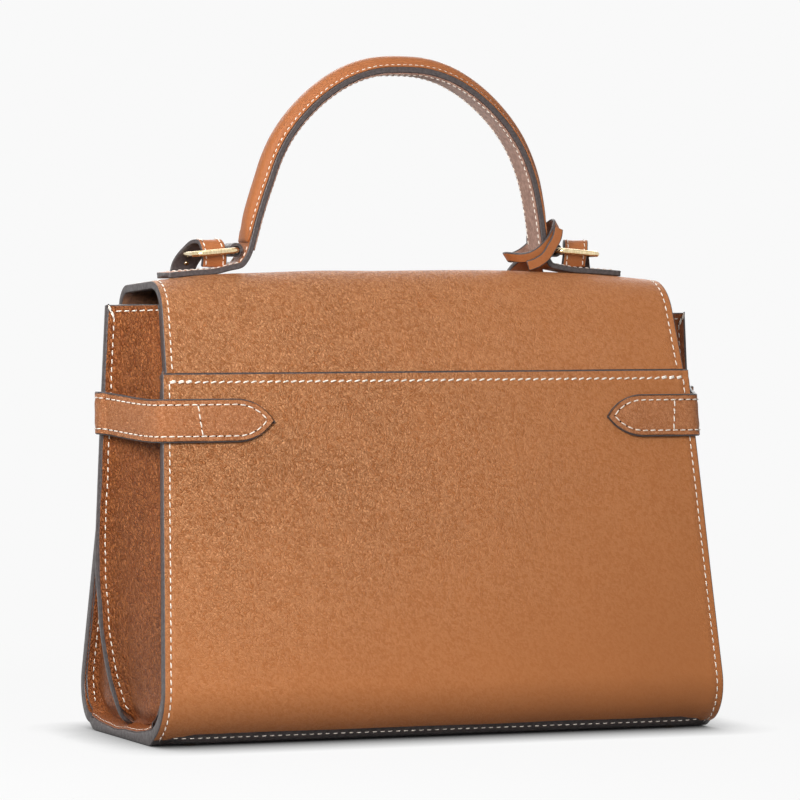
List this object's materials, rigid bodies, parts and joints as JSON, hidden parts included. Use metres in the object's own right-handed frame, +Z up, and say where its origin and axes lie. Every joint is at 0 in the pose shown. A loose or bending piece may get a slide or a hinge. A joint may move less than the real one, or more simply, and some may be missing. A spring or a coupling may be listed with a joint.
{
  "type": "flap handbag",
  "caption": "Structured leather handbag with a flap and turn lock, folded gussets, side straps on snaps, and one arched top handle.",
  "frame": {"origin": "centre of the bag's footprint, on the plane that its studs stand on", "axes": "+Z up, +X to the bag's left as the front faces, so that the front is at -Y and the back at +Y"},
  "size_m": [0.3038, 0.126, 0.3194],
  "materials": {
    "tan_leather": "pebbled grain, satin",
    "gusset_leather": "pebbled grain, a little deeper in colour",
    "dark_leather": "smooth, edges painted dark grey-brown",
    "suede": "soft suede",
    "lining": "smooth microfibre",
    "board": "pressed fibre board",
    "gold_metal": "polished pale gold plating"
  },
  "bodies": {
    "root": {"back_panel": "tan_leather", "front_panel": "tan_leather", "base_panel": "tan_leather", "back_board": "board", "front_board": "board", "base_board": "board", "base_studs": "gold_metal", "lining": "lining", "inner_pocket": "lining", "gusset_left_back": "gusset_leather", "gusset_left_front": "gusset_leather", "gusset_right_back": "gusset_leather", "gusset_right_front": "gusset_leather", "flap_yoke": "tan_leather", "lock_base": "gold_metal", "lock_backplate": "gold_metal", "strap_left_back": "tan_leather", "strap_right_back": "tan_leather", "snap_posts": "gold_metal"},
    "flap": {"flap_leather": "tan_leather", "flap_lining": "lining", "slot_plate": "gold_metal", "handle_strip": "dark_leather", "handle_grip": "tan_leather", "handle_core": "board", "handle_lining": "suede", "handle_anchors": "gold_metal", "roll_left": "dark_leather", "roll_right": "dark_leather", "ring_left": "gold_metal", "ring_right": "gold_metal", "ring_tab_left": "tan_leather", "ring_tab_right": "tan_leather", "tab_rivets": "gold_metal", "lace": "tan_leather"},
    "knob": {"lock_knob": "gold_metal"},
    "strap_left": {"strap_left_front": "tan_leather", "snap_cap_left": "gold_metal"},
    "strap_right": {"strap_right_front": "tan_leather", "snap_cap_right": "gold_metal"},
    "tag": {"tag": "tan_leather"}
  },
  "joints": [
    {"name": "flap_hinge", "type": "hinge", "parent": "root", "child": "flap", "pos_m": [0, 0.02781, 0.199], "axis": [-1, 0, 0], "range_deg": [0, 165]},
    {"name": "lock_turn", "type": "hinge", "parent": "root", "child": "knob", "pos_m": [0, -0.04361, 0.142], "axis": [0, -0.9863, 0.165], "range_deg": [0, 90]},
    {"name": "strap_left_swing", "type": "hinge", "parent": "root", "child": "strap_left", "pos_m": [0.13463, -0.04383, 0.14913], "axis": [0, 0.165, 0.9863], "range_deg": [0, 110]},
    {"name": "strap_right_swing", "type": "hinge", "parent": "root", "child": "strap_right", "pos_m": [-0.13463, -0.04383, 0.14913], "axis": [0, -0.165, -0.9863], "range_deg": [0, 110]},
    {"name": "tag_swing", "type": "hinge", "parent": "flap", "child": "tag", "pos_m": [-0.07186, -0.01142, 0.22796], "axis": [-0.9734, 0.229, 0], "range_deg": [0, 35]}
  ]
}
